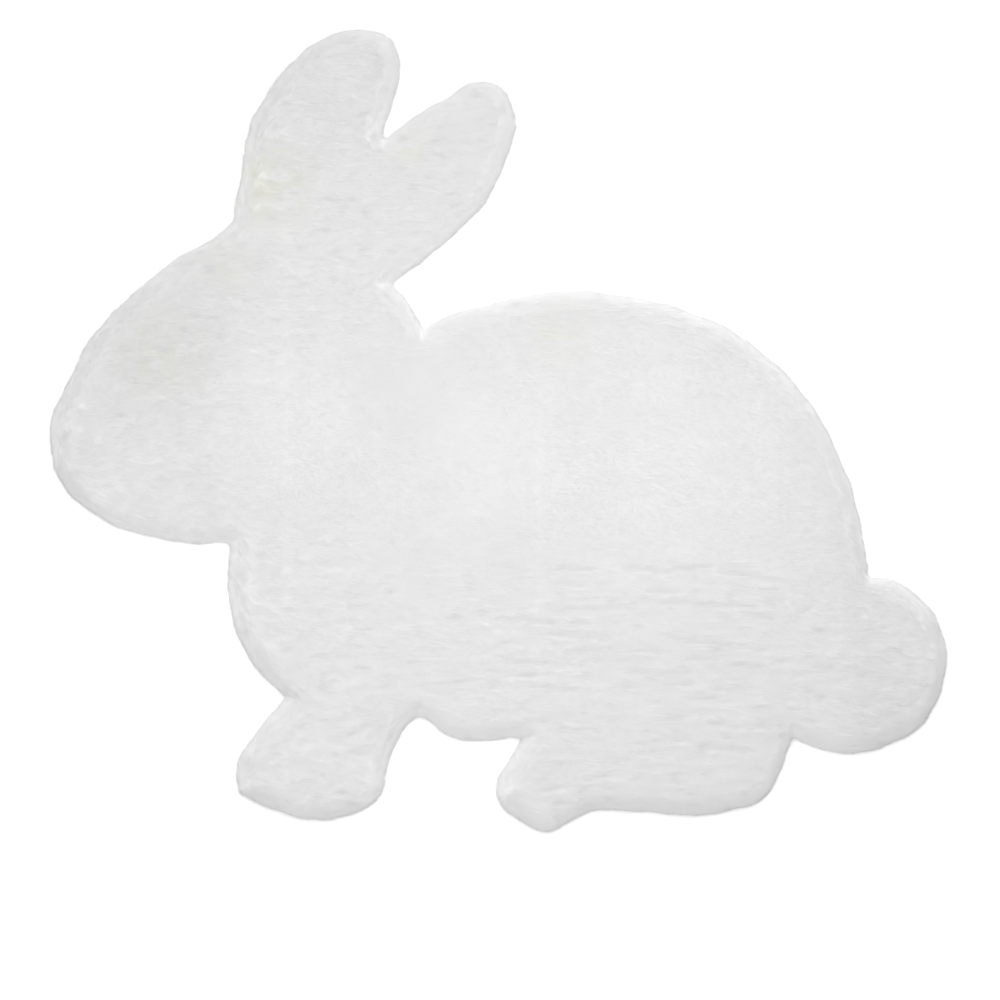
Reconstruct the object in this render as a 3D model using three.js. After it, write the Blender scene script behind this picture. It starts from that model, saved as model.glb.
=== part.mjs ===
// A rabbit shaped rug for a child's room: one piece of white plush pile cloth, cut to the side view
// of a sitting rabbit and lying flat on the floor. Millimetres, +Z up, the nose at -X, the ears at +Y.
// The origin is on the floor, under the middle of the rug's box.

import * as THREE from "three";

// Driving dimensions.
const RUG_LENGTH = 900; // nose to tail
const PILE_HEIGHT = 24; // floor to the tips of most of the pile
const EDGE_STEP = 9; // between points round the outline
const TUFT_STEP = 17; // between points on the top

// The rim of the pile, from the edge of the cloth on the floor over the bulge to the top.
const RIM = [
  { inset: 6, height: 0 },
  { inset: 1.5, height: 4.5 },
  { inset: 0, height: 10.5 },
  { inset: 3.5, height: 17 },
  { inset: 10, height: 21.5 },
  { inset: 19, height: 23.5 },
];
const TURN_REACH = 22; // length of edge over which the rim turns a corner

// Locks of pile that stick out at the rim and dip between, as three waves along the edge.
const RIM_LOCKS = [
  { pitch: 29, depth: 0.7 },
  { pitch: 43, depth: 0.6 },
  { pitch: 71, depth: 0.5 },
];

// Uneven top: tufts that stand higher or lower, and wide soft swells of the whole pile.
const TUFT_RISE = 1.1;
const TUFT_WANDER = 0.22; // share of the step by which a tuft sits off its row
const TUFT_CLEARANCE = 0.55; // share of the step that tufts keep from the rim
const SWELLS = [
  { alongX: 170, alongY: 260, rise: 0.5 },
  { alongX: -95, alongY: 120, rise: 0.45 },
  { alongX: 230, alongY: -80, rise: 0.45 },
];

// Soft lines where the pile parts, each from its first point to its second.
const PARTINGS = [
  { where: "tail root, upper", from: [346, -128], to: [348, -205], width: 13, depth: 2.6 },
  { where: "tail root, lower", from: [348, -205], to: [364, -282], width: 13, depth: 2.2 },
  { where: "hind foot", from: [82, -330], to: [74, -372], width: 12, depth: 1.8 },
];

// The outline of the rabbit, clockwise from under the chin. Each stretch is a smooth curve through its
// points, and two stretches meet in a corner. Distances are from the middle of the rug.
const OUTLINE = [
  {
    stretch: "chin, nose and brow",
    points: [
      [-267, -114], [-304, -114], [-340, -109], [-372, -101], [-418, -75], [-441, -46], [-448, 2],
      [-428, 52], [-406, 93], [-377, 124], [-330, 165], [-289, 189], [-265, 207],
    ],
  },
  {
    stretch: "front ear",
    points: [
      [-265, 207], [-257, 252], [-247, 307], [-236, 329], [-206, 369], [-171, 393], [-130, 401],
      [-104, 387], [-98, 352], [-113, 308], [-115, 289],
    ],
  },
  {
    stretch: "rear ear",
    points: [
      [-115, 289], [-80, 315], [-43, 337], [-28, 346], [1, 345], [17, 319], [13, 283], [1, 253],
      [-17, 222], [-73, 171], [-107, 145],
    ],
  },
  { stretch: "nape", points: [[-107, 145], [-93, 131], [-81, 114], [-75, 99]] },
  {
    stretch: "back",
    points: [
      [-75, 99], [-49, 113], [2, 127], [62, 138], [131, 133], [202, 114], [251, 88], [307, 35],
      [345, -33], [365, -98], [371, -147],
    ],
  },
  {
    stretch: "tail",
    points: [
      [371, -147], [398, -152], [434, -180], [450, -219], [444, -266], [417, -304], [360, -325],
      [322, -320], [296, -308],
    ],
  },
  {
    stretch: "haunch and hind foot",
    points: [
      [296, -308], [285, -341], [267, -370], [212, -386], [120, -382], [92, -384], [65, -398],
      [47, -404], [20, -391], [0, -370], [0, -352], [12, -332], [29, -308],
    ],
  },
  { stretch: "belly", points: [[29, -308], [-26, -312], [-52, -305], [-69, -292], [-80, -287]] },
  {
    stretch: "front leg, back and sole",
    points: [
      [-80, -287], [-91, -296], [-109, -332], [-116, -362], [-130, -379], [-158, -389], [-187, -391],
      [-227, -380], [-260, -363],
    ],
  },
  {
    stretch: "front leg, toe and front",
    points: [[-260, -363], [-260, -331], [-246, -312], [-226, -284], [-210, -269]],
  },
  {
    stretch: "chest",
    points: [
      [-210, -269], [-230, -252], [-248, -231], [-260, -206], [-269, -170], [-270, -144], [-267, -114],
    ],
  },
];

// The same uneven number from 0 to 1 for the same whole numbers, every time.
function unevenness(i, j) {
  const wave = Math.sin(i * 127.1 + j * 311.7) * 43758.5453;
  return wave - Math.floor(wave);
}

// The outline as evenly spaced points, anticlockwise, at the rug's real length.
function outlinePoints() {
  const drawn = OUTLINE.flatMap(({ points }) => {
    const knots = points.map(([x, y]) => new THREE.Vector3(x, y, 0));
    const curve = new THREE.CatmullRomCurve3(knots, false, "centripetal");
    const steps = Math.round(curve.getLength() / EDGE_STEP);
    return curve.getSpacedPoints(steps).slice(0, -1);
  });
  const box = new THREE.Box3().setFromPoints(drawn);
  const middle = box.getCenter(new THREE.Vector3());
  const scale = RUG_LENGTH / (box.max.x - box.min.x);
  return drawn.map((p) => p.sub(middle).multiplyScalar(scale)).reverse();
}

// For each point of a closed outline, the direction out of it, turned gently past the corners.
function outwardDirections(outline) {
  const count = outline.length;
  const reach = Math.round(TURN_REACH / EDGE_STEP);
  return outline.map((_, i) => {
    const before = outline[(i - reach + count) % count];
    const after = outline[(i + reach) % count];
    return new THREE.Vector3(after.y - before.y, before.x - after.x, 0).normalize();
  });
}

// How far the locks at the rim stand out at a distance along the edge.
function lockReach(along) {
  const turn = 2 * Math.PI * along;
  return RIM_LOCKS.reduce((sum, { pitch, depth }) => sum + depth * Math.sin(turn / pitch), 0);
}

// The rings of points of the rim, from the floor to the top.
function rimRings() {
  const outline = outlinePoints();
  const outward = outwardDirections(outline);
  return RIM.map(({ inset, height }, ring) =>
    outline.map((p, i) => {
      const lock = height > 0 ? lockReach(i * EDGE_STEP + ring * EDGE_STEP) : 0;
      return p.clone().addScaledVector(outward[i], lock - inset).setZ(height);
    }),
  );
}

// How far below the rest the pile lies at a point, for the lines where it parts.
function partingDepth(x, y) {
  const here = new THREE.Vector3(x, y, 0);
  return Math.max(
    ...PARTINGS.map(({ from, to, width, depth }) => {
      const line = new THREE.Line3(new THREE.Vector3(...from, 0), new THREE.Vector3(...to, 0));
      const nearest = line.closestPointToPoint(here, true, new THREE.Vector3());
      return depth * Math.exp(-((nearest.distanceTo(here) / width) ** 2));
    }),
  );
}

// Height of the pile at a point on the top.
function topHeight(x, y) {
  const swell = SWELLS.reduce((sum, { alongX, alongY, rise }) => {
    const turns = x / alongX + y / alongY;
    return sum + rise * Math.sin(2 * Math.PI * turns);
  }, 0);
  return PILE_HEIGHT - TUFT_RISE + swell - partingDepth(x, y);
}

// Whether a point is inside a ring of points.
function isInside(x, y, ring) {
  let inside = false;
  ring.forEach((a, i) => {
    const b = ring[(i + 1) % ring.length];
    const crosses = a.y > y !== b.y > y;
    if (crosses && x < a.x + ((y - a.y) * (b.x - a.x)) / (b.y - a.y)) inside = !inside;
  });
  return inside;
}

// Tufts in staggered rows inside the top ring of the rim, each a little off its place.
function tuftPoints(ring) {
  const box = new THREE.Box3().setFromPoints(ring);
  const rowStep = TUFT_STEP * Math.sin(Math.PI / 3);
  const rows = Math.floor((box.max.y - box.min.y) / rowStep);
  const columns = Math.floor((box.max.x - box.min.x) / TUFT_STEP);
  const clearance = TUFT_CLEARANCE * TUFT_STEP;
  const tufts = [];
  for (let row = 1; row <= rows; row++) {
    for (let column = 0; column <= columns; column++) {
      const wander = TUFT_WANDER * TUFT_STEP;
      const x = box.min.x + (column + (row % 2) / 2) * TUFT_STEP + wander * (2 * unevenness(row, column) - 1);
      const y = box.min.y + row * rowStep + wander * (2 * unevenness(column, row + 0.5) - 1);
      const clear = ring.every((p) => Math.hypot(p.x - x, p.y - y) > clearance);
      if (!clear || !isInside(x, y, ring)) continue;
      const rise = TUFT_RISE * (2 * unevenness(row + 0.25, column) - 1);
      tufts.push(new THREE.Vector3(x, y, topHeight(x, y) + rise));
    }
  }
  return tufts;
}

// The circle through three points, as its middle and the square of its radius.
function circleThrough(a, b, c) {
  const bx = b.x - a.x;
  const by = b.y - a.y;
  const cx = c.x - a.x;
  const cy = c.y - a.y;
  const twiceArea = 2 * (bx * cy - by * cx);
  const x = (cy * (bx * bx + by * by) - by * (cx * cx + cy * cy)) / twiceArea;
  const y = (bx * (cx * cx + cy * cy) - cx * (bx * bx + by * by)) / twiceArea;
  return { x: a.x + x, y: a.y + y, radiusSquared: x * x + y * y };
}

// Well shaped triangles over points seen from above, added one by one (Delaunay's rule).
function triangulate(points) {
  const far = 10 * RUG_LENGTH;
  const all = [
    ...points,
    new THREE.Vector3(-far, -far, 0),
    new THREE.Vector3(far, -far, 0),
    new THREE.Vector3(0, far, 0),
  ];
  const corner = points.length;
  const makeTriangle = (a, b, c) => ({ corners: [a, b, c], circle: circleThrough(all[a], all[b], all[c]) });
  let triangles = [makeTriangle(corner, corner + 1, corner + 2)];
  points.forEach((p, i) => {
    const edges = new Map();
    triangles = triangles.filter(({ corners, circle }) => {
      const kept = (p.x - circle.x) ** 2 + (p.y - circle.y) ** 2 >= circle.radiusSquared;
      if (!kept) {
        corners.forEach((a, k) => {
          const b = corners[(k + 1) % 3];
          if (!edges.delete(`${b} ${a}`)) edges.set(`${a} ${b}`, [a, b]);
        });
      }
      return kept;
    });
    edges.forEach(([a, b]) => triangles.push(makeTriangle(a, b, i)));
  });
  return triangles.map(({ corners }) => corners).filter((corners) => corners.every((k) => k < corner));
}

// The rug as one closed skin: flat underside, rim, and the uneven top.
function rugGeometry() {
  const rings = rimRings();
  const ringLength = rings[0].length;
  const topRing = rings[rings.length - 1];
  const topStart = (rings.length - 1) * ringLength;
  const tufts = tuftPoints(topRing);
  const faces = THREE.ShapeUtils.triangulateShape(rings[0], []).map(([a, b, c]) => [a, c, b]);
  for (let ring = 0; ring < rings.length - 1; ring++) {
    for (let i = 0; i < ringLength; i++) {
      const next = (i + 1) % ringLength;
      const low = ring * ringLength;
      const high = low + ringLength;
      faces.push([low + i, low + next, high + next], [low + i, high + next, high + i]);
    }
  }
  const top = [...topRing, ...tufts];
  triangulate(top).forEach(([a, b, c]) => {
    const x = (top[a].x + top[b].x + top[c].x) / 3;
    const y = (top[a].y + top[b].y + top[c].y) / 3;
    if (isInside(x, y, topRing)) faces.push([topStart + a, topStart + b, topStart + c]);
  });
  const geometry = new THREE.BufferGeometry().setFromPoints([...rings.flat(), ...tufts]);
  geometry.setIndex(faces.flat());
  geometry.computeBoundingBox();
  const middle = geometry.boundingBox.getCenter(new THREE.Vector3());
  geometry.translate(-middle.x, -middle.y, 0);
  geometry.computeVertexNormals();
  return geometry;
}

const whitePlush = new THREE.MeshStandardMaterial({ color: 0xe9e9e7, roughness: 0.95, metalness: 0 });
const pile = new THREE.Mesh(rugGeometry(), whitePlush);
pile.name = "pile_rug";

const rug = new THREE.Group();
rug.add(pile);

export default rug;
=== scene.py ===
# %% [markdown]
# # A rabbit shaped rug of white plush
#
# The rug is one piece of pile cloth, cut to the side view of a sitting rabbit and laid flat.
# Its shape is already in the frame, as one flat solid that reaches to the tips of the pile. What is
# left to make is the plush itself: a bed of pile that dips and parts, two hundred thousand fibres
# that grow out of it, the plain back of the cloth, and the soft light that shows all of it.

# %% Load the frame
import math

import bmesh
import bpy
import numpy as np
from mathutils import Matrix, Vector, kdtree, noise


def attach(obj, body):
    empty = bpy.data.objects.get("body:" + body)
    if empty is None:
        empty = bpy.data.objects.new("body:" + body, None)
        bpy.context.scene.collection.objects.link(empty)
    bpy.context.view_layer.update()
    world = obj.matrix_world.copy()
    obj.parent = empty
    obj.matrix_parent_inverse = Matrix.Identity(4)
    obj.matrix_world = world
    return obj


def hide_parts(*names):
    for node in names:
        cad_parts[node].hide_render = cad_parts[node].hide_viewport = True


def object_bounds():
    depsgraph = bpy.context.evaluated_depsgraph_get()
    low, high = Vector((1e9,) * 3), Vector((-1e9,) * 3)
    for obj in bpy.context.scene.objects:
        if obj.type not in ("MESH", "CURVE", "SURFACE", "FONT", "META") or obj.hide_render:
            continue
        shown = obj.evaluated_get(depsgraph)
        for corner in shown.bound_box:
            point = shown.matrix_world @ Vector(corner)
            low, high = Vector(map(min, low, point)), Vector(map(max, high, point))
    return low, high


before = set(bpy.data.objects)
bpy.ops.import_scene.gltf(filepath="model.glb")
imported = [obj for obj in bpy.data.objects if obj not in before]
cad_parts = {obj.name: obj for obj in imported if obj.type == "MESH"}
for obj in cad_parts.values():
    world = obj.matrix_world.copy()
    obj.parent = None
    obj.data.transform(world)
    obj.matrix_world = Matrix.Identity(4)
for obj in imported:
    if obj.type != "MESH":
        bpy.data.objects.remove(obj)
cad_box = [list(corner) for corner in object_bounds()]
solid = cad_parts["pile_rug"]
print("rug solid:", len(solid.data.polygons), "triangles, box", cad_box)

# %% [markdown]
# ## Camera
#
# The photograph looks straight down, so the camera hangs above the rug and its picture's upper edge
# is the rug's +Y side. A long lens keeps the rim from leaning outwards. The rug is measured against
# the picture once, as pixels for its length, and the camera's height follows from that.

# %% Hang the camera above the rug
PICTURE_PX = 1000
RUG_LENGTH_PX = 897
RUG_CENTRE_PX = (498.5, 431.0)
LENS_MM = 90
SENSOR_MM = 36
RIM_HEIGHT = 0.0105  # where the rug is widest, so where its outline is seen

rug_length = cad_box[1][0] - cad_box[0][0]
metres_per_px = rug_length / RUG_LENGTH_PX
view_width = PICTURE_PX * metres_per_px
camera_data = bpy.data.cameras.new("camera_above")
camera_data.lens = LENS_MM
camera_data.sensor_width = SENSOR_MM
camera = bpy.data.objects.new("camera_above", camera_data)
camera.location = (
    (PICTURE_PX / 2 - RUG_CENTRE_PX[0]) * metres_per_px,
    (RUG_CENTRE_PX[1] - PICTURE_PX / 2) * metres_per_px,
    RIM_HEIGHT + view_width * LENS_MM / SENSOR_MM,
)
bpy.context.scene.collection.objects.link(camera)
bpy.context.scene.camera = camera
print("camera", [round(c, 4) for c in camera.location], "sees", round(view_width, 3), "m")

# %% [markdown]
# ## The bed of pile
#
# Below their tips the fibres stand so close that they make one soft mass, and that mass is a mesh of
# its own. It starts as a copy of the solid. Its long thin triangles couldn't carry any relief, so a
# voxel remesh turns them into even squares of a few millimetres. The flat underside needs no such
# squares, so it is cut out and filled again with a few large faces.

# %% Copy the solid and remesh it into even squares
BED_STEP = 0.0028
WELD_GAP = 1e-5
UNDERSIDE_BELOW = 0.0008


def plain_mesh(obj, name):
    """The object's evaluated mesh as a mesh of its own."""
    depsgraph = bpy.context.evaluated_depsgraph_get()
    mesh = bpy.data.meshes.new_from_object(obj.evaluated_get(depsgraph))
    mesh.name = name
    return mesh


bed = bpy.data.objects.new("pile_bed", solid.data.copy())
bpy.context.scene.collection.objects.link(bed)
weld = bed.modifiers.new("weld", "WELD")
weld.merge_threshold = WELD_GAP
remesh = bed.modifiers.new("even squares", "REMESH")
remesh.mode = "VOXEL"
remesh.voxel_size = BED_STEP
even_squares = plain_mesh(bed, "pile_bed")
bed.modifiers.clear()
bed.data = even_squares
bed.data.materials.clear()
print("even squares:", len(bed.data.polygons))

# %% Flatten the underside and fill it with large faces
work = bmesh.new()
work.from_mesh(bed.data)
for vertex in work.verts:
    if vertex.co.z < UNDERSIDE_BELOW:
        vertex.co.z = 0.0
under = [face for face in work.faces if all(vertex.co.z == 0.0 for vertex in face.verts)]
bmesh.ops.delete(work, geom=under, context="FACES")
edge_of_cloth = [edge for edge in work.edges if edge.is_boundary]
bmesh.ops.triangle_fill(work, use_beauty=True, edges=edge_of_cloth, normal=(0.0, 0.0, -1.0))
bmesh.ops.recalc_face_normals(work, faces=work.faces)
open_edges = sum(not edge.is_manifold for edge in work.edges)
work.to_mesh(bed.data)
work.free()
bed.data.shade_smooth()
bed_size = (len(bed.data.vertices), len(bed.data.polygons))
print("bed:", bed_size[0], "points", bed_size[1], "faces", open_edges, "open edges")

# %% [markdown]
# ## An even top
#
# The solid has a coarse relief of its own. The plush gets a finer one in the next step, and the two
# would add up to streaks, so the top is levelled first. Only the rounded rim keeps its shape. How
# far a point lies from the rug's side decides how much of it is levelled, and a k-d tree finds the
# nearest point of the side without trying them all. The distances are used again further down.

# %% Measure how far each point is from the side, and level the top
SIDE_TILT = 0.3  # a point whose normal rises less than this is on the side of the rug
EVEN_FROM = (0.010, 0.030)  # metres from the side where the levelling starts and is complete


def points_of(mesh):
    flat = np.empty(len(mesh.vertices) * 3, np.float32)
    mesh.vertices.foreach_get("co", flat)
    return flat.reshape(-1, 3).astype(float)


def normals_of(mesh):
    flat = np.empty(len(mesh.vertices) * 3, np.float32)
    mesh.vertices.foreach_get("normal", flat)
    return flat.reshape(-1, 3).astype(float)


def smooth_step(value, low, high):
    """0 below low, 1 above high, and a soft ramp between."""
    t = np.clip((value - low) / (high - low), 0.0, 1.0)
    return t * t * (3.0 - 2.0 * t)


tips = points_of(bed.data)
outward = normals_of(bed.data)
side = tips[np.abs(outward[:, 2]) < SIDE_TILT]
side_tree = kdtree.KDTree(len(side))
for index, point in enumerate(side):
    side_tree.insert((point[0], point[1], 0.0), index)
side_tree.balance()
nearest = np.array([side_tree.find((x, y, 0.0))[1] for x, y in tips[:, :2]])
to_side = (side[nearest] - tips) * (1.0, 1.0, 0.0)
from_side = np.linalg.norm(to_side, axis=1)

evened = smooth_step(from_side, *EVEN_FROM) * (outward[:, 2] > SIDE_TILT)
top_height = np.median(tips[evened == 1.0, 2])
tips[:, 2] += (top_height - tips[:, 2]) * evened
outward += ((0.0, 0.0, 1.0) - outward) * evened[:, None]
outward /= np.linalg.norm(outward, axis=1)[:, None]
print("top at", round(top_height, 4), "m, up to", round(from_side.max(), 3), "m from the side")

# %% [markdown]
# ## Partings and tufts
#
# Brushed plush never lies even. On the flank the pile has slipped into long level furrows, on the
# ears, face, chest, paws and tail it stands in small tufts with hollows between them, and only the
# crown of the body is smooth. Noise gives the tufts, and the same noise stretched along X gives the
# furrows. The partings that can be told apart are listed, one row of the table for each.

# %% Partings that show
PARTINGS = [  # x, y, length and depth in millimetres from the middle of the rug, slope in degrees
    (10, -135, 18, 0.8, 0), (75, -138, 38, 1.2, -4), (69, -154, 26, 1.2, -6),
    (138, -138, 26, 1.3, -5), (160, -141, 16, 1.0, 0), (193, -137, 34, 1.3, 2),
    (247, -145, 60, 1.1, -8), (256, -158, 42, 1.0, -3), (162, -162, 32, 1.0, 0),
    (273, -170, 20, 1.2, 0), (206, -174, 94, 1.1, -2), (95, -178, 74, 0.9, 2),
    (255, -185, 34, 1.1, -10), (304, -180, 15, 1.2, 25), (29, -191, 45, 1.1, -3),
    (75, -193, 14, 1.1, 0), (316, -200, 10, 1.4, 0), (55, -204, 32, 1.0, -2),
    (96, -208, 30, 0.8, 0), (205, -212, 48, 1.4, -6), (83, -221, 35, 1.2, 0),
    (146, -221, 32, 1.0, 0), (259, -220, 12, 1.2, 0), (44, -232, 74, 0.9, -2),
    (200, -228, 30, 1.0, 0), (246, -235, 30, 1.1, -6), (323, -236, 17, 1.2, 0),
    (157, -243, 60, 1.0, -1), (26, -245, 12, 1.3, 0), (53, -258, 50, 1.1, -3),
    (120, -256, 18, 1.0, 0), (177, -255, 22, 1.4, 0), (219, -259, 15, 1.2, 0),
    (200, -268, 30, 0.9, 0), (36, -289, 20, 1.3, 0), (173, -288, 18, 1.1, 0),
    (215, -293, 14, 1.6, -8), (258, -296, 15, 1.1, 0), (180, -309, 14, 1.1, 0),
    (224, -318, 52, 1.0, -4), (347, -168, 76, 0.5, 91), (356, -245, 80, 0.5, 100),
    (50, -359, 16, 1.5, 8), (79, -364, 10, 0.9, 70), (54, -384, 10, 0.9, 95),
]
PARTING_WIDTH = 0.0024
PARTING_SHARE = 0.4  # how much of that depth shows in the relief
MM = 1000  # millimetres in a metre


def parting_depth(x, y):
    """How deep the hand placed partings are at each point."""
    depth = np.zeros(len(x))
    for px, py, length, deep, slope in PARTINGS:
        turn = math.radians(slope)
        dx = x - px / MM
        dy = y - py / MM
        along = dx * math.cos(turn) + dy * math.sin(turn)
        across = dy * math.cos(turn) - dx * math.sin(turn)
        past_end = np.maximum(np.abs(along) - length / 2 / MM, 0.0)
        away = np.hypot(across, past_end) / PARTING_WIDTH
        depth = np.maximum(depth, deep / MM * np.exp(-away * away))
    return PARTING_SHARE * depth


depths = parting_depth(tips[:, 0], tips[:, 1])
print(len(PARTINGS), "partings, up to", round(depths.max() * MM, 2), "mm deep")

# %% Relief of the tufts and furrows over the rug's plan
FURROW_SIZE = (0.034, 0.0065)
FURROW_HEIGHT = 0.0004
TUFT_SIZE = (0.015, 0.010)
TUFT_HEIGHT = 0.0007
CROWN = (0.03, -0.02, 0.32, 0.13)  # middle and half sizes of the smooth part of the body
CROWN_EDGE = (0.75, 1.30)  # where its smoothness starts to fade and where it ends
CROWN_SHARE = 0.25  # how much of the relief is left on it
SPECK_SIZE = (0.013, 0.0065)
SPECK_FROM = (0.35, 0.65)
FINER = 0.5  # size and height of the second, finer layer of each noise
FINER_LAYER = 1.7
FURROW_LAYER = 3.1  # every pattern is a slice of the noise at a level of its own
TUFT_LAYER = 7.3
SWELL_LAYER = 11.5
SPECK_LAYER = 17.9
SWELL_SIZE = 0.060
SWELL_HEIGHT = 0.0006
COMBED_FROM = (-0.16, -0.06)  # along X, where tufts turn into furrows
COMBED_TO = (0.33, 0.37)  # and back
SLOPE_STEP = 0.001


def noise_over(x, y, size_x, size_y, layer):
    """Smooth noise from -1 to 1 at each point of the plan, with grains of the given size."""
    grid = zip(x / size_x, y / size_y)
    return np.array([noise.noise((u, v, layer)) for u, v in grid])


def two_layers(x, y, size, layer):
    """Noise with a finer layer of itself on top."""
    coarse = noise_over(x, y, size[0], size[1], layer)
    fine = noise_over(x, y, FINER * size[0], FINER * size[1], layer + FINER_LAYER)
    return coarse + FINER * fine


def combed_share(x):
    """1 on the body, where the pile lies in level furrows, and 0 on head, chest and tail."""
    after_chest = smooth_step(x, *COMBED_FROM)
    before_tail = 1.0 - smooth_step(x, *COMBED_TO)
    return after_chest * before_tail


def mottled_share(x, y):
    """1 where the pile is ruffled, and less on the crown of the body."""
    middle_x, middle_y, half_x, half_y = CROWN
    away = np.hypot((x - middle_x) / half_x, (y - middle_y) / half_y)
    return CROWN_SHARE + (1.0 - CROWN_SHARE) * smooth_step(away, *CROWN_EDGE)


def relief(x, y):
    """Height of the pile over its mean, in metres."""
    combed = combed_share(x)
    furrows = FURROW_HEIGHT * two_layers(x, y, FURROW_SIZE, FURROW_LAYER)
    tufts = TUFT_HEIGHT * two_layers(x, y, TUFT_SIZE, TUFT_LAYER)
    ruffles = mottled_share(x, y) * (combed * furrows + (1.0 - combed) * tufts)
    swell = SWELL_HEIGHT * noise_over(x, y, SWELL_SIZE, SWELL_SIZE, SWELL_LAYER)
    return ruffles + swell - parting_depth(x, y)


def speck_share(x, y):
    """1 in the small hollows between tufts, which get painted shade."""
    hollows = smooth_step(two_layers(x, y, SPECK_SIZE, SPECK_LAYER), *SPECK_FROM)
    return hollows * mottled_share(x, y)


height = relief(tips[:, 0], tips[:, 1])
slope_x = (relief(tips[:, 0] + SLOPE_STEP, tips[:, 1]) - height) / SLOPE_STEP
slope_y = (relief(tips[:, 0], tips[:, 1] + SLOPE_STEP) - height) / SLOPE_STEP
print("relief from", round(height.min() * MM, 2), "to", round(height.max() * MM, 2), "mm")

# %% [markdown]
# ## Sinking the bed
#
# The solid reaches to the tips of the fibres, so the bed that they grow out of lies a little deeper.
# It sinks straight down, which leaves the outline alone, and near the floor it stays where it is. A
# gentle fall towards the rim makes the rug look padded.

# %% Sink the bed below the tips and add the relief
BED_SINK = 0.0022
RIM_TILT = (0.30, 0.95)  # sine of the surface's tilt, where the rim starts and where it ends
FLOOR_BLEND = 0.006
RIM_WIDTH = 0.034
RIM_FALL = 0.0015

off_floor = smooth_step(tips[:, 2], 0.0, FLOOR_BLEND)
fall = RIM_FALL * (1.0 - smooth_step(from_side, 0.0, RIM_WIDTH)) * np.maximum(outward[:, 2], 0.0)
rim = smooth_step(np.hypot(outward[:, 0], outward[:, 1]), *RIM_TILT)
roots = tips + outward * (height * off_floor)[:, None]
roots[:, 2] -= (BED_SINK + fall) * off_floor
roots[:, 2] = np.maximum(roots[:, 2], 0.0)
bed.data.vertices.foreach_set("co", roots.astype(np.float32).ravel())
bed.data.update()
print("bed sunk by up to", round((tips - roots)[:, 2].max() * MM, 2), "mm")

# %% [markdown]
# ## Which way the fibres lie
#
# All fibres of one cloth lean the same way, here from nose to tail, and hands and feet ruffle them.
# Each point of the bed stores a direction: the lie of the cloth, turned by slow noise and drawn
# together on every tuft. Near the rim it turns to run along the outline and droops a little, since
# fibres that stick out sideways would draw a hard line there. Two more values say where fibres grow
# at all, because the back of the cloth is bare, and how long they are.

# %% Store the lie of the fibres on the bed
LIE_SWING = math.radians(10)
LIE_SIZE = (0.030, 0.018)
TUFT_PULL = 1.5
FOLLOW_WIDTH = 0.035
RIM_DROOP = 0.4
RIM_LENGTH = 0.75
GROWS_FROM = (0.001, 0.004)  # heights between which the fibres begin to grow
LIE_LAYER = 13.6
NOT_ZERO = 1e-6

swing = LIE_SWING * noise_over(tips[:, 0], tips[:, 1], *LIE_SIZE, LIE_LAYER)
swing *= 2.0 - combed_share(tips[:, 0])
lie = np.stack([np.cos(swing), np.sin(swing), np.zeros(len(tips))], axis=1)
lie[:, 0] += TUFT_PULL * slope_x
lie[:, 1] += TUFT_PULL * slope_y
edgewise = outward * (1.0, 1.0, 0.0) + to_side / FOLLOW_WIDTH
edgewise /= np.maximum(np.linalg.norm(edgewise, axis=1), NOT_ZERO)[:, None]
along_edge = lie - edgewise * (edgewise * lie).sum(axis=1)[:, None]
along_edge /= np.maximum(np.linalg.norm(along_edge, axis=1), NOT_ZERO)[:, None]
follows = 1.0 - smooth_step(from_side, 0.0, FOLLOW_WIDTH)
lie += (along_edge - lie) * follows[:, None]
lie[:, 2] -= RIM_DROOP * rim


def store(name, kind, field, values):
    """Keeps one value for each point of the bed under a name that node trees can read."""
    attribute = bed.data.attributes.new(name, kind, "POINT")
    attribute.data.foreach_set(field, values.astype(np.float32).ravel())


grows = smooth_step(tips[:, 2], *GROWS_FROM)
store("lie", "FLOAT_VECTOR", "vector", lie)
store("grows", "FLOAT", "value", grows)
store("reach", "FLOAT", "value", 1.0 - (1.0 - RIM_LENGTH) * rim)
print("fibres grow on", int((grows > 0.5).sum()), "of", len(grows), "points")

# %% [markdown]
# ## Painted shade where the pile opens
#
# Where pile parts, one looks down between the fibres into shade, and here that shade is painted on
# as a soft grey. That is so in the listed partings, in the hollows between the tufts, and behind the
# root of the tail, where the pile of the tail starts in a line and stands more upright. The rims that
# face the tail and the feet get the same painted shade, which makes them darker than the lamps do.
# One value for each point keeps all of that painted shade, and the materials read it later.

# %% Paint shade into the partings, the hollows, the root of the tail and the rims
TAIL_ROOT_X = 0.336
TAIL_ROOT_Y = -0.131
TAIL_ROOT_SLOPE = 0.12
TAIL_EDGE = 0.005
TAIL_FADE = 0.090
TAIL_TOP = (0.10, 0.14)  # below the middle, where the line begins
TAIL_SHADE = 0.3
SPECK_SHADE = 0.8
# painted shade on the rims that face this way
SHADED_RIM = math.radians(-35)  # direction that the greyest rim faces
RIM_SHADE = 1.2

tail_root = TAIL_ROOT_X + TAIL_ROOT_SLOPE * (TAIL_ROOT_Y - tips[:, 1])
past_root = tips[:, 0] - tail_root
on_tail = smooth_step(past_root, 0.0, TAIL_EDGE) * (1.0 - smooth_step(past_root, 0.0, TAIL_FADE))
on_tail *= smooth_step(-tips[:, 1], *TAIL_TOP)
specks = SPECK_SHADE * speck_share(tips[:, 0], tips[:, 1])
# painted shade in the partings, the hollows between tufts and behind the root of the tail
parted = np.maximum(depths / depths.max(), TAIL_SHADE * on_tail + specks)
facing = outward[:, :2] @ (math.cos(SHADED_RIM), math.sin(SHADED_RIM))
# painted shade on the rims that face the tail and the feet
parted += RIM_SHADE * np.maximum(facing, 0.0) ** 2
store("parted", "FLOAT", "value", parted)
print("parted by more than half on", int((parted > 0.5).sum()), "points")
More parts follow.
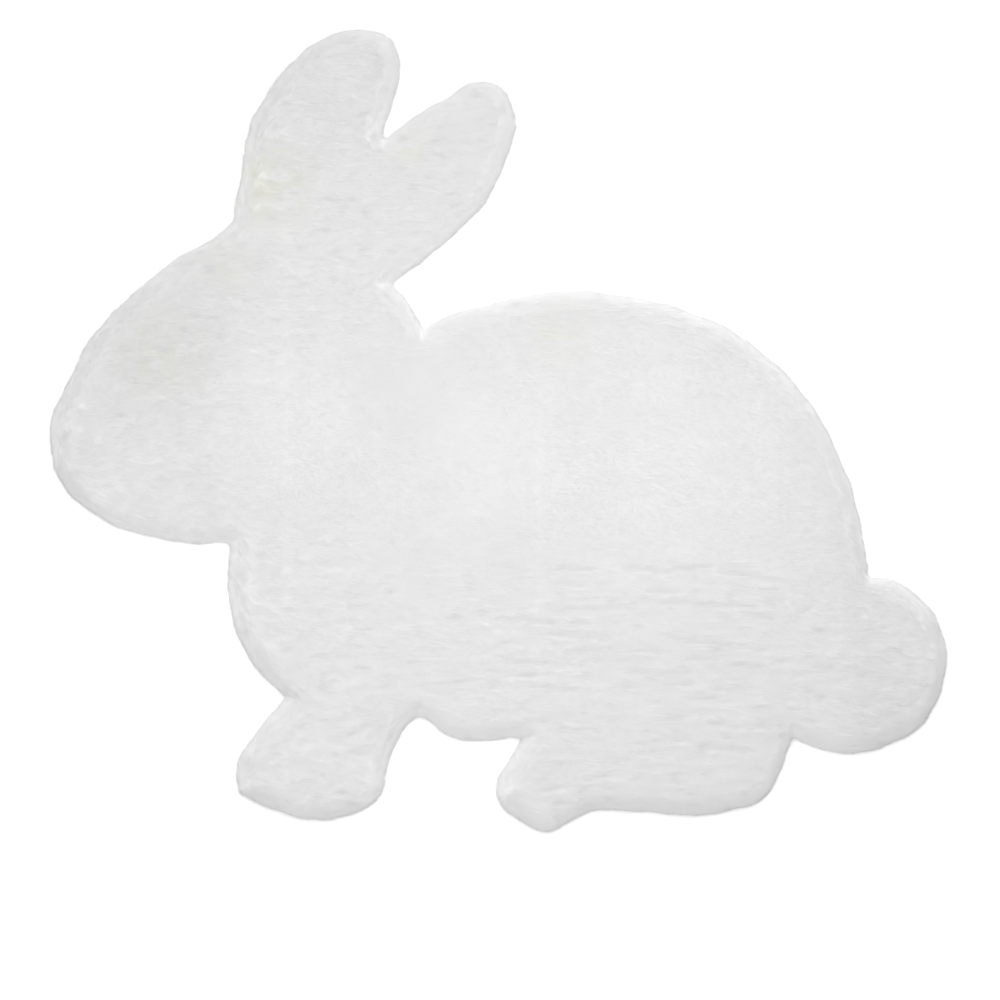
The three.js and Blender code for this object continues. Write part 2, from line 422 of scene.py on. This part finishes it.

# %% [markdown]
# ## White plush as a material
#
# White pile is not one white. It is a little warmer where it has been stroked or stained. Painted
# light makes it brightest on the smooth crown of the body, and painted shade makes it greyer on the
# face. Soft round patches place these tones. A node group mixes them from Object coordinates, so that
# the fibres and the bed below them agree, and each material gives the group its own white.

# %% A helper that builds node trees
PATCH_CORE = 0.2  # share of a patch's radius where it is at full strength
PATCH_HEIGHT = 0.02  # all patches lie at the height of the pile


class Tree:
    """A node tree being built: add() makes a node, sets its options and fills its inputs."""

    def __init__(self, tree):
        self.tree = tree

    def add(self, kind, options=None, **inputs):
        node = self.tree.nodes.new(kind)
        for name, value in (options or {}).items():
            setattr(node, name, value)
        for key, value in inputs.items():
            by_number = key[1:].isdigit()  # _0 is the first input, Side_Segments the one of that name
            self.fill(node.inputs[int(key[1:]) if by_number else key.replace("_", " ")], value)
        return node

    def fill(self, socket, value):
        if isinstance(value, bpy.types.NodeSocket):
            self.tree.links.new(value, socket)
        else:
            socket.default_value = value

    def math(self, operation, a, b=0.0):
        return self.add("ShaderNodeMath", {"operation": operation}, _0=a, _1=b).outputs[0]

    def mix(self, factor, first, second):
        """A blend of two colours, which are inputs 6 and 7 of a Mix node."""
        node = self.add("ShaderNodeMix", {"data_type": "RGBA"}, _0=factor, _6=first, _7=second)
        return node.outputs[2]

    def near(self, place, patches):
        """1 inside the patches and 0 outside them, with soft borders."""
        mask = 0.0
        for x, y, radius, strength in patches:
            middle = (x, y, PATCH_HEIGHT)
            away = self.add("ShaderNodeVectorMath", {"operation": "DISTANCE"}, _0=place, _1=middle)
            ramp = self.add(
                "ShaderNodeMapRange", {"interpolation_type": "SMOOTHSTEP"},
                Value=away.outputs["Value"], From_Min=radius, From_Max=PATCH_CORE * radius,
                To_Max=strength,
            )
            mask = self.math("MAXIMUM", ramp.outputs[0], mask)
        return mask


print("the helper can", [name for name in vars(Tree) if not name.startswith("_")])

# %% Tone of the plush
CREAM_PATCHES = [  # x, y, radius in metres, strength
    (-0.226, 0.246, 0.060, 0.9),
    (-0.336, 0.076, 0.060, 0.9),
    (0.062, 0.098, 0.045, 0.5),
    (-0.086, 0.281, 0.025, 0.5),
    (-0.273, 0.166, 0.035, 0.7),
]
# painted shade: greyer patches on the face
SHADE_PATCHES = [
    (-0.335, 0.085, 0.100, 0.32),
    (-0.290, 0.150, 0.080, 0.20),
]
# painted light: lighter patches on the body, the chest and a paw, where the light pools
PAINTED_LIGHT_PATCHES = [
    (0.005, -0.020, 0.120, 0.8),
    (0.190, -0.020, 0.200, 0.7),
    (-0.220, 0.010, 0.120, 0.7),
    (-0.380, -0.030, 0.110, 0.5),
    (-0.180, -0.340, 0.090, 0.5),
]
PLUSH_WHITE = (0.84, 0.84, 0.84, 1.0)
PLUSH_LIT = (0.88, 0.88, 0.88, 1.0)
# painted shade: the bed's white is a little darker than the fibres', as less light reaches deep pile
PLUSH_SHADED = (0.83, 0.83, 0.83, 1.0)
PLUSH_CREAM = (0.815, 0.819, 0.730, 1.0)
PLUSH_GREY = (0.71, 0.71, 0.71, 1.0)
MOTTLE_SCALE = 28.0
MOTTLE_DETAIL = 4.0
MOTTLE_FROM = (0.35, 0.75)
RAGGED_SCALE = 60.0
RAGGED_DETAIL = 3.0
RAGGED_FROM = (0.35, 0.65)


def noise_share(t, place, scale, detail, limits):
    """Noise as a share that is 0 below the first limit and 1 above the second."""
    grain = t.add("ShaderNodeTexNoise", Vector=place, Scale=scale, Detail=detail).outputs["Fac"]
    return t.add("ShaderNodeMapRange", Value=grain, From_Min=limits[0], From_Max=limits[1]).outputs[0]


def build_tone_group():
    group = bpy.data.node_groups.new("plush_tone", "ShaderNodeTree")
    for name in ("White", "Bright", "Cream", "Grey"):
        group.interface.new_socket(name, in_out="INPUT", socket_type="NodeSocketColor")
    for name in ("Mottle", "Parted"):
        group.interface.new_socket(name, in_out="INPUT", socket_type="NodeSocketFloat")
    group.interface.new_socket("Color", in_out="OUTPUT", socket_type="NodeSocketColor")
    t = Tree(group)
    given = t.add("NodeGroupInput").outputs
    place = t.add("ShaderNodeTexCoord").outputs["Object"]
    blots = noise_share(t, place, RAGGED_SCALE, RAGGED_DETAIL, RAGGED_FROM)
    cream = t.math("MULTIPLY", t.near(place, CREAM_PATCHES), blots)
    # painted light: the lighter white fills the patches of light
    lit_white = t.mix(t.near(place, PAINTED_LIGHT_PATCHES), given["White"], given["Bright"])
    warm = t.mix(cream, lit_white, given["Cream"])
    spots = noise_share(t, place, MOTTLE_SCALE, MOTTLE_DETAIL, MOTTLE_FROM)
    # random mottle, plus the painted shade on the face
    grey = t.math("ADD", t.math("MULTIPLY", spots, given["Mottle"]), t.near(place, SHADE_PATCHES))
    # painted shade from the values stored on the bed
    grey = t.math("ADD", grey, given["Parted"])
    t.add("NodeGroupOutput", Color=t.mix(grey, warm, given["Grey"]))
    return group


plush_tone = build_tone_group()
print("plush tone:", len(plush_tone.nodes), "nodes")

# %% Materials of the fibres and of the bed
FIBRE_MOTTLE = 0.15
SHADE_GREY = 0.65
BED_MOTTLE = 0.25
PILE_ROUGHNESS = 0.9
PILE_SPECULAR = 0.2
SHEEN = 0.05
SHEEN_ROUGHNESS = 0.6


def plush_material(name, white, mottle):
    """Matt white pile with a soft sheen."""
    material = bpy.data.materials.new(name)
    material.use_nodes = True
    t = Tree(material.node_tree)
    shader = material.node_tree.nodes["Principled BSDF"]
    # the painted shade stored on the bed
    parted = t.add("ShaderNodeAttribute", {"attribute_name": "parted"}).outputs["Fac"]
    tone = t.add(
        "ShaderNodeGroup", {"node_tree": plush_tone},
        White=white, Bright=PLUSH_LIT, Cream=PLUSH_CREAM, Grey=PLUSH_GREY, Mottle=mottle,
        Parted=t.math("MULTIPLY", parted, SHADE_GREY),
    )
    t.fill(shader.inputs["Base Color"], tone.outputs["Color"])
    shader.inputs["Roughness"].default_value = PILE_ROUGHNESS
    shader.inputs["Specular IOR Level"].default_value = PILE_SPECULAR
    shader.inputs["Sheen Weight"].default_value = SHEEN
    shader.inputs["Sheen Roughness"].default_value = SHEEN_ROUGHNESS
    return material


fibre_white = plush_material("plush_fibre", PLUSH_WHITE, FIBRE_MOTTLE)
# the bed gets the darker white and more mottle, as painted shade of the deep pile
bed_white = plush_material("plush_bed", PLUSH_SHADED, BED_MOTTLE)
print("materials:", fibre_white.name, bed_white.name)

# %% [markdown]
# ## Back of the cloth
#
# Underneath, the plush is plain cloth: the fibres are looped through a ground of close rows, which
# nobody sees while the rug lies on the floor. Two wave textures across each other give its rows and
# its threads, and the same height lifts the bump and darkens the hollows with painted shade.

# %% Material of the ground cloth
CLOTH_LIGHT = (0.80, 0.79, 0.76, 1.0)
CLOTH_HOLLOW_SHADE = (0.66, 0.65, 0.61, 1.0)
CLOTH_ROUGHNESS = 0.95
ROW_SCALE = 260.0
THREAD_WAVER = 1.5
THREAD_DEPTH = 0.0004

backing = bpy.data.materials.new("ground_cloth")
backing.use_nodes = True
cloth = Tree(backing.node_tree)
cloth_shader = backing.node_tree.nodes["Principled BSDF"]
cloth_place = cloth.add("ShaderNodeTexCoord").outputs["Object"]
rows = cloth.add("ShaderNodeTexWave", {"bands_direction": "Y"}, Vector=cloth_place, Scale=ROW_SCALE)
threads = cloth.add(
    "ShaderNodeTexWave", {"bands_direction": "X"},
    Vector=cloth_place, Scale=ROW_SCALE, Distortion=THREAD_WAVER,
)
weave = cloth.math("MULTIPLY", rows.outputs["Fac"], threads.outputs["Fac"])
# the darker colour in the hollows of the weave is painted shade
cloth.fill(cloth_shader.inputs["Base Color"], cloth.mix(weave, CLOTH_HOLLOW_SHADE, CLOTH_LIGHT))
cloth_bump = cloth.add("ShaderNodeBump", Height=weave, Distance=THREAD_DEPTH)
cloth.fill(cloth_shader.inputs["Normal"], cloth_bump.outputs[0])
cloth_shader.inputs["Roughness"].default_value = CLOTH_ROUGHNESS

bed.data.materials.append(bed_white)
bed.data.materials.append(backing)
bed_slots = np.zeros(len(bed.data.polygons), np.int32)
for face in bed.data.polygons:
    if all(roots[index, 2] == 0.0 for index in face.vertices):
        bed_slots[face.index] = 1
bed.data.polygons.foreach_set("material_index", bed_slots)
bed.data.polygons.foreach_set("use_smooth", bed_slots == 0)
print("bare back:", bed_slots.sum(), "of", len(bed_slots), "faces")

# %% [markdown]
# ## Fibres
#
# A Geometry Nodes tree scatters points over the bed and puts one tapered spike on each. A spike has
# only four faces, because there are so many of them. It points partly along the normal and partly
# along the lie that the bed stored, so it leans where the lie is strong and stands where it is weak.

# %% Build the fibre tree
FIBRE_INPUTS = {
    "Fibres per square metre": ("NodeSocketFloat", 500000.0),
    "Length": ("NodeSocketFloat", 0.0100),
    "Width": ("NodeSocketFloat", 0.0007),
    "Lean": ("NodeSocketFloat", 1.0),
    "Rise": ("NodeSocketFloat", 0.20),
    "Ruffle": ("NodeSocketFloat", 1.0),
    "Uneven": ("NodeSocketFloat", 0.2),
    "Above floor": ("NodeSocketFloat", 0.0006),
    "From X": ("NodeSocketFloat", -1.0),
    "To X": ("NodeSocketFloat", 1.0),
    "Seed": ("NodeSocketInt", 1),
    "Material": ("NodeSocketMaterial", None),
}
RUFFLE = (0.15, 0.20, 0.35)  # nod, sway and roll of a ruffled fibre, in radians


def position(t):
    """The place of each point that a node works on, as its x, y and z."""
    place = t.add("GeometryNodeInputPosition").outputs[0]
    return t.add("ShaderNodeSeparateXYZ", Vector=place).outputs


def stored(t, kind, name):
    return t.add("GeometryNodeInputNamedAttribute", {"data_type": kind}, Name=name).outputs[0]


def spike(t, given):
    """One straight fibre that stands on its root."""
    half_width = t.math("MULTIPLY", given["Width"], 0.5)
    cone = t.add(
        "GeometryNodeMeshCone", {"fill_type": "NGON"},
        Vertices=3, Side_Segments=1, Radius_Top=0.0, Radius_Bottom=half_width, Depth=given["Length"],
    )
    return cone.outputs["Mesh"]


def ruffled(t, given, normal):
    """The turn of each fibre: between the normal and the lie, and then a little astray."""
    risen = t.add("ShaderNodeVectorMath", {"operation": "SCALE"}, _0=normal, Scale=given["Rise"])
    lie_here = stored(t, "FLOAT_VECTOR", "lie")
    leant = t.add("ShaderNodeVectorMath", {"operation": "SCALE"}, _0=lie_here, Scale=given["Lean"])
    both = t.add("ShaderNodeVectorMath", {"operation": "ADD"}, _0=risen.outputs[0], _1=leant.outputs[0])
    laid = t.add("FunctionNodeAlignRotationToVector", {"axis": "Z"}, Vector=both.outputs[0])
    chance = t.add(
        "FunctionNodeRandomValue", {"data_type": "FLOAT_VECTOR"},
        _0=tuple(-angle for angle in RUFFLE), _1=RUFFLE, Seed=given["Seed"],
    )
    astray = t.add(
        "ShaderNodeVectorMath", {"operation": "SCALE"}, _0=chance.outputs[0], Scale=given["Ruffle"]
    )
    turn = t.add("FunctionNodeEulerToRotation", Euler=astray.outputs[0])
    return t.add(
        "FunctionNodeRotateRotation", {"rotation_space": "LOCAL"},
        Rotation=laid.outputs[0], Rotate_By=turn.outputs[0],
    ).outputs[0]


def build_fibre_tree():
    group = bpy.data.node_groups.new("plush_fibres", "GeometryNodeTree")
    group.interface.new_socket("Geometry", in_out="INPUT", socket_type="NodeSocketGeometry")
    for name, (kind, value) in FIBRE_INPUTS.items():
        socket = group.interface.new_socket(name, in_out="INPUT", socket_type=kind)
        if value is not None:
            socket.default_value = value
    group.interface.new_socket("Geometry", in_out="OUTPUT", socket_type="NodeSocketGeometry")
    t = Tree(group)
    given = t.add("NodeGroupInput").outputs

    x = position(t)[0]
    after = t.math("GREATER_THAN", x, given["From X"])
    before = t.math("LESS_THAN", x, given["To X"])
    here = t.math("MULTIPLY", t.math("MULTIPLY", after, before), stored(t, "FLOAT", "grows"))
    density = t.math("MULTIPLY", here, given["Fibres per square metre"])
    scatter = t.add(
        "GeometryNodeDistributePointsOnFaces",
        Mesh=given["Geometry"], Density=density, Seed=given["Seed"],
    ).outputs
    rooted = t.add(
        "GeometryNodeStoreNamedAttribute", {"data_type": "FLOAT_VECTOR", "domain": "POINT"},
        Geometry=scatter["Points"], Name="nap", Value=scatter["Normal"],
    )
    least = t.math("SUBTRACT", 1.0, given["Uneven"])
    most = t.math("ADD", 1.0, given["Uneven"])
    chance = t.add("FunctionNodeRandomValue", _2=least, _3=most, Seed=given["Seed"])
    size = t.math("MULTIPLY", chance.outputs[1], stored(t, "FLOAT", "reach"))
    planted = t.add(
        "GeometryNodeInstanceOnPoints",
        Points=rooted.outputs[0], Instance=spike(t, given),
        Rotation=ruffled(t, given, scatter["Normal"]), Scale=size,
    )
    real = t.add("GeometryNodeRealizeInstances", Geometry=planted.outputs[0])
    at = position(t)
    raised = t.add(
        "ShaderNodeCombineXYZ", X=at[0], Y=at[1], Z=t.math("MAXIMUM", at[2], given["Above floor"])
    )
    clear = t.add("GeometryNodeSetPosition", Geometry=real.outputs[0], Position=raised.outputs[0])
    smooth = t.add("GeometryNodeSetShadeSmooth", Geometry=clear.outputs[0])
    painted = t.add("GeometryNodeSetMaterial", Geometry=smooth.outputs[0], Material=given["Material"])
    t.add("NodeGroupOutput", Geometry=painted.outputs[0])
    return group


fibre_tree = build_fibre_tree()
print("fibre tree:", len(fibre_tree.nodes), "nodes")

# %% [markdown]
# ## Growing the fibres
#
# The fibres are grown in five bands from nose to tail, so that no mesh gets too heavy to work with.
# Real fibres are ten times finer than these and light passes between them, so plush shades as one
# soft mass. Spikes with normals of their own would look like straw. Each spike therefore takes its
# normals from the bed at its root, and at the rim these are lifted towards the light.

# %% Grow the fibres band by band
BANDS = ["head", "shoulder", "loin", "rump", "tail"]
FIBRE_COUNT = 208000
POINTS_PER_FIBRE = 4
FIRST_SEED = 11
BEYOND = 1.0  # further out than either end of the rug
NAP_LIFT = 1.75  # how far the normals of the fibres are lifted
BED_LIFT = 1.5

face_areas = np.empty(len(bed.data.polygons), np.float32)
bed.data.polygons.foreach_get("area", face_areas)
grown_area = sum(area for area, slot in zip(face_areas, bed_slots) if slot == 0)
print("plush grows on", round(grown_area, 4), "square metres")

grown_x = np.sort(tips[grows > 0.5, 0])
limits = [grown_x[int(len(grown_x) * k / len(BANDS))] for k in range(1, len(BANDS))]
limits = [-BEYOND, *limits, BEYOND]


def set_input(modifier, name, value):
    """Sets a modifier's input by the identifier of the socket with this name."""
    for item in modifier.node_group.interface.items_tree:
        if item.item_type == "SOCKET" and item.in_out == "INPUT" and item.name == name:
            modifier[item.identifier] = value


def lifted(normals, lift):
    """Normals turned upwards, the more so the further they point to the side."""
    turned = normals.copy()
    turned[:, 2] += lift * np.sqrt(np.maximum(1.0 - turned[:, 2], 0.0))
    return turned / np.linalg.norm(turned, axis=1)[:, None]


def soften(mesh):
    """Lets the fibres shade like the bed at their roots."""
    flat = np.empty(len(mesh.vertices) * 3, np.float32)
    mesh.attributes["nap"].data.foreach_get("vector", flat)
    below = lifted(flat.reshape(-1, 3).astype(float), NAP_LIFT)
    mesh.normals_split_custom_set_from_vertices(below.astype(np.float32))
    mesh.attributes.remove(mesh.attributes["nap"])


def grow_band(name, low, high, seed):
    grower = bpy.data.objects.new("grower", bed.data)
    bpy.context.scene.collection.objects.link(grower)
    modifier = grower.modifiers.new("plush", "NODES")
    modifier.node_group = fibre_tree
    set_input(modifier, "Fibres per square metre", FIBRE_COUNT / grown_area)
    set_input(modifier, "From X", float(low))
    set_input(modifier, "To X", float(high))
    set_input(modifier, "Seed", seed)
    set_input(modifier, "Material", fibre_white)
    mesh = plain_mesh(grower, name)
    bpy.data.objects.remove(grower)
    soften(mesh)
    piece = bpy.data.objects.new(name, mesh)
    bpy.context.scene.collection.objects.link(piece)
    return piece


fibres = []
for k, band in enumerate(BANDS):
    piece = grow_band("fibres_" + band, limits[k], limits[k + 1], FIRST_SEED + k)
    fibres.append(piece)
    print(piece.name, len(piece.data.vertices) // POINTS_PER_FIBRE, "fibres")
bed_normals = normals_of(bed.data)
upper = bed_normals[:, 2] > 0.0
bed_normals[upper] = lifted(bed_normals[upper], BED_LIFT)
bed.data.normals_split_custom_set_from_vertices(bed_normals.astype(np.float32))
for piece in [bed, *fibres]:
    piece.data.calc_loop_triangles()
print("triangles in all:", sum(len(piece.data.loop_triangles) for piece in [bed, *fibres]))

# %% [markdown]
# ## Plan maps
#
# The tone depends only on where a point lies on the rug, so a view from above is a true map of it:
# fibres that cross there share their colour. Each band of fibres gets such a plan as its UV map. The
# bed gets two plans side by side, for its top and for its bare back.

# %% Lay the UV maps
MAP_NAME = "OFBake"


def plan_map(mesh, half_of=None):
    """A UV map that is the view from above, stretched to the whole square or to one half of it."""
    plan = points_of(mesh)[:, :2]
    low, high = plan.min(axis=0), plan.max(axis=0)
    corner_points = np.empty(len(mesh.loops), np.int32)
    mesh.loops.foreach_get("vertex_index", corner_points)
    uv = ((plan - low) / (high - low))[corner_points]
    if half_of is not None:
        uv[:, 0] = 0.5 * (uv[:, 0] + half_of)
    layer = mesh.uv_layers.new(name=MAP_NAME)
    layer.uv.foreach_set("vector", uv.astype(np.float32).ravel())


for piece in fibres:
    plan_map(piece.data)
corners = np.empty(len(bed.data.polygons), np.int32)
bed.data.polygons.foreach_get("loop_total", corners)
plan_map(bed.data, half_of=np.repeat(bed_slots, corners))
print("plan maps on", len(fibres) + 1, "pieces")

# %% [markdown]
# ## Floor and light
#
# The rug lies on a plain white floor, which glows a little like a light table, so that it stays white
# right up to the rug. A softbox above the middle makes the body brightest and lets ears and tail fall
# off. A broad window beyond the ears makes the upper rims lighter than the lower ones, and a dome of
# even sky, which is a sun as wide as the sky, fills the rest.

# %% Floor
FLOOR_HALF = 30.0
FLOOR_DROP = 0.0005  # below the rug's back, so that the two faces don't coincide
FLOOR_WHITE = (0.96, 0.96, 0.96, 1.0)
FLOOR_ROUGHNESS = 0.9
FLOOR_GLOW = 0.25
WHITE_LIGHT = (1.0, 1.0, 1.0, 1.0)

floor_mesh = bpy.data.meshes.new("floor")
floor_corners = [(-1, -1), (1, -1), (1, 1), (-1, 1)]
floor_mesh.from_pydata(
    [(x * FLOOR_HALF, y * FLOOR_HALF, -FLOOR_DROP) for x, y in floor_corners], [], [(0, 1, 2, 3)]
)
floor = bpy.data.objects.new("floor", floor_mesh)
bpy.context.scene.collection.objects.link(floor)
floor_paint = bpy.data.materials.new("floor_paint")
floor_paint.use_nodes = True
floor_shader = floor_paint.node_tree.nodes["Principled BSDF"]
floor_shader.inputs["Base Color"].default_value = FLOOR_WHITE
floor_shader.inputs["Roughness"].default_value = FLOOR_ROUGHNESS
floor_shader.inputs["Emission Color"].default_value = WHITE_LIGHT
floor_shader.inputs["Emission Strength"].default_value = FLOOR_GLOW
floor_mesh.materials.append(floor_paint)

# %% Lamps
WORLD_STRENGTH = 0.05
DOME_ANGLE = math.radians(170)
DOME_STRENGTH = 1.22
SOFTBOX_SIZE = (1.0, 0.7)
SOFTBOX_AT = (0.01, 0.0, 1.1)
SOFTBOX_WATTS = 8.4
WINDOW_TOWARDS = (-0.2, -1.0, -0.55)
WINDOW_ANGLE = math.radians(70)
WINDOW_STRENGTH = 0.92


def add_lamp(name, kind, energy):
    """A lamp at the origin that shines straight down."""
    lamp = bpy.data.objects.new(name, bpy.data.lights.new(name, kind))
    lamp.data.energy = energy
    bpy.context.scene.collection.objects.link(lamp)
    return lamp


world = bpy.data.worlds.new("studio")
bpy.context.scene.world = world
world.use_nodes = True
world_light = world.node_tree.nodes["Background"]
world_light.inputs["Color"].default_value = WHITE_LIGHT
world_light.inputs["Strength"].default_value = WORLD_STRENGTH

dome = add_lamp("dome", "SUN", DOME_STRENGTH)
dome.data.angle = DOME_ANGLE
softbox = add_lamp("softbox", "AREA", SOFTBOX_WATTS)
softbox.data.shape = "RECTANGLE"
softbox.data.size, softbox.data.size_y = SOFTBOX_SIZE
softbox.location = SOFTBOX_AT
softbox.visible_camera = False
window = add_lamp("window", "SUN", WINDOW_STRENGTH)
window.data.angle = WINDOW_ANGLE
window.rotation_euler = Vector(WINDOW_TOWARDS).to_track_quat("-Z", "Y").to_euler()
bpy.context.scene.view_settings.view_transform = "Standard"
print("lamps:", dome.name, softbox.name, window.name)

# %% [markdown]
# ## Light between the fibres
#
# Fibres as coarse as these throw shadows on each other that real plush doesn't show, because its fine
# fibres pass the light on. Light linking puts that right: each lamp gets a collection of the things
# that may stop its light, and only the bed and the floor are in it. The rug still throws its own soft
# shadow on the floor, and its rims still turn away from the light.

# %% Let the light pass between the fibres
stops_light = bpy.data.collections.new("stops_light")
stops_light.objects.link(bed)
stops_light.objects.link(floor)
for lamp in (softbox, window, dome):
    lamp.light_linking.blocker_collection = stops_light

# %% [markdown]
# ## One body
#
# Cloth has no joints, so every piece rides on the one body. The bed stands for the solid, which is
# hidden.

for piece in [bed, *fibres]:
    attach(piece, "root")
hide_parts("pile_rug")
